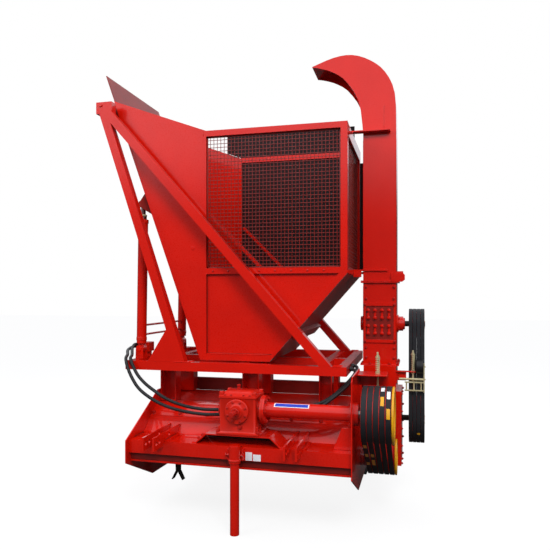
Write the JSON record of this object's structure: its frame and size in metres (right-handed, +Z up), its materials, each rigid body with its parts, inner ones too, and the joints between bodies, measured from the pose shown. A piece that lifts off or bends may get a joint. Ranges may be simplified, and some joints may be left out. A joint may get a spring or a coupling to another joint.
{
  "type": "forage harvester",
  "caption": "Tractor-driven flail forage harvester with a belt-driven blower duct, a curved spout and a high side-tipping mesh hopper on triangular frames.",
  "frame": {"origin": "centre of the parking leg's foot, on the ground", "axes": "+X to the right seen from the drawbar side, +Y back from the front beam to the wheels, +Z up"},
  "size_m": [2.252, 1.764, 3.1791],
  "materials": {
    "red_enamel": "gloss",
    "yellow_enamel": "gloss",
    "worn_blade": "matte",
    "bare_steel": "satin",
    "belt_rubber": "matte",
    "tyre_rubber": "matte",
    "hose_rubber": "satin",
    "chrome": "gloss",
    "black_paint": "satin",
    "cast": "gloss"
  },
  "bodies": {
    "chassis": {"header_hood": "red_enamel", "side_plate_left": "red_enamel", "side_plate_right": "red_enamel", "front_beam": "red_enamel", "front_flap": "belt_rubber", "gearbox_bridge": "red_enamel", "gearbox": "cast", "drive_tube": "red_enamel", "lift_bracket_left": "red_enamel", "lift_bracket_right": "red_enamel", "base_frame": "red_enamel", "frame_post_left": "red_enamel", "frame_post_middle": "red_enamel", "frame_post_right": "red_enamel", "hood_rear_guard": "red_enamel", "front_triangle": "red_enamel", "rear_triangle": "red_enamel", "blower_housing": "red_enamel", "duct_lower": "red_enamel", "knife_plate": "red_enamel", "front_belt": "belt_rubber", "rear_belt": "belt_rubber", "front_tensioner": "red_enamel", "rear_tensioner": "red_enamel", "wheel_axle": "red_enamel", "flow_divider": "bare_steel", "hose_junction": "bare_steel", "front_hose_upper": "hose_rubber", "front_hose_lower": "hose_rubber", "rear_hose_upper": "hose_rubber", "rear_hose_lower": "hose_rubber"},
    "hopper": {"hopper_front_wall": "red_enamel", "hopper_rear_wall": "red_enamel", "hopper_front_grille": "black_paint", "hopper_rear_grille": "black_paint", "hopper_side_frame": "red_enamel", "hopper_side_grille": "black_paint", "hopper_floor": "red_enamel", "chute_wall": "red_enamel", "duct_upper": "red_enamel", "spout": "red_enamel"},
    "front_barrel": {"front_barrel": "red_enamel"},
    "front_sleeve": {"front_sleeve": "bare_steel"},
    "front_rod": {"front_rod": "chrome"},
    "rear_barrel": {"rear_barrel": "red_enamel"},
    "rear_sleeve": {"rear_sleeve": "bare_steel"},
    "rear_rod": {"rear_rod": "chrome"},
    "flail_rotor": {"flail_rotor": "worn_blade", "rotor_sheave": "yellow_enamel"},
    "drive_shaft": {"drive_sheave": "yellow_enamel"},
    "pto_shaft": {"pto_shaft": "bare_steel"},
    "auger": {"auger": "bare_steel", "blower_sheave": "yellow_enamel"},
    "chopper": {"chopper_sheave": "yellow_enamel"},
    "wheel_left": {"tyre_left": "tyre_rubber", "rim_left": "yellow_enamel"},
    "wheel_right": {"tyre_right": "tyre_rubber", "rim_right": "yellow_enamel"},
    "parking_leg": {"parking_leg": "red_enamel"}
  },
  "joints": [
    {"name": "hopper_tip", "type": "hinge", "parent": "chassis", "child": "hopper", "pos_m": [-1.076, 0.815, 2.8], "axis": [0, -1, 0], "range_deg": [0, 100]},
    {"name": "front_barrel_swing", "type": "hinge", "parent": "chassis", "child": "front_barrel", "pos_m": [-0.854, 0.45, 1.078], "axis": [0, 1, 0], "range_deg": [0, 16.1]},
    {"name": "front_sleeve_slide", "type": "slide", "parent": "front_barrel", "child": "front_sleeve", "axis": [0.0154, 0, 0.9999], "range_m": [0, 0.496]},
    {"name": "front_rod_slide", "type": "slide", "parent": "front_sleeve", "child": "front_rod", "axis": [0.0154, 0, 0.9999], "range_m": [0, 0.496]},
    {"name": "rear_barrel_swing", "type": "hinge", "parent": "chassis", "child": "rear_barrel", "pos_m": [-0.854, 1.18, 1.078], "axis": [0, 1, 0], "range_deg": [0, 16.1]},
    {"name": "rear_sleeve_slide", "type": "slide", "parent": "rear_barrel", "child": "rear_sleeve", "axis": [0.0154, 0, 0.9999], "range_m": [0, 0.496]},
    {"name": "rear_rod_slide", "type": "slide", "parent": "rear_sleeve", "child": "rear_rod", "axis": [0.0154, 0, 0.9999], "range_m": [0, 0.496]},
    {"name": "flail_spin", "type": "hinge", "parent": "chassis", "child": "flail_rotor", "pos_m": [0, 0.55, 0.39], "axis": [1, 0, 0], "continuous": true},
    {"name": "drive_spin", "type": "hinge", "parent": "chassis", "child": "drive_shaft", "pos_m": [0.8, 0.15, 0.745], "axis": [1, 0, 0], "continuous": true},
    {"name": "pto_spin", "type": "hinge", "parent": "chassis", "child": "pto_shaft", "pos_m": [0, 0, 0.745], "axis": [0, -1, 0], "continuous": true},
    {"name": "auger_spin", "type": "hinge", "parent": "chassis", "child": "auger", "pos_m": [0, 0.88, 0.585], "axis": [1, 0, 0], "continuous": true},
    {"name": "chopper_spin", "type": "hinge", "parent": "chassis", "child": "chopper", "pos_m": [0.9, 0.875, 1.26], "axis": [1, 0, 0], "continuous": true},
    {"name": "wheel_left_spin", "type": "hinge", "parent": "chassis", "child": "wheel_left", "pos_m": [-0.62, 1.4, 0.252], "axis": [1, 0, 0], "continuous": true},
    {"name": "wheel_right_spin", "type": "hinge", "parent": "chassis", "child": "wheel_right", "pos_m": [0.62, 1.4, 0.252], "axis": [1, 0, 0], "continuous": true},
    {"name": "leg_slide", "type": "slide", "parent": "chassis", "child": "parking_leg", "axis": [0, 0, 1], "range_m": [0, 0.15]}
  ],
  "couplings": [
    {"joint": "front_barrel_swing", "follows": "hopper_tip", "ratio": 0.16},
    {"joint": "front_sleeve_slide", "follows": "hopper_tip", "m_per_rad": 0.28362},
    {"joint": "front_rod_slide", "follows": "hopper_tip", "m_per_rad": 0.28362},
    {"joint": "rear_barrel_swing", "follows": "hopper_tip", "ratio": 0.16},
    {"joint": "rear_sleeve_slide", "follows": "hopper_tip", "m_per_rad": 0.28362},
    {"joint": "rear_rod_slide", "follows": "hopper_tip", "m_per_rad": 0.28362},
    {"joint": "drive_spin", "follows": "flail_spin", "ratio": 0.65455},
    {"joint": "pto_spin", "follows": "flail_spin", "ratio": 0.65455},
    {"joint": "chopper_spin", "follows": "auger_spin", "ratio": 1.6327}
  ]
}
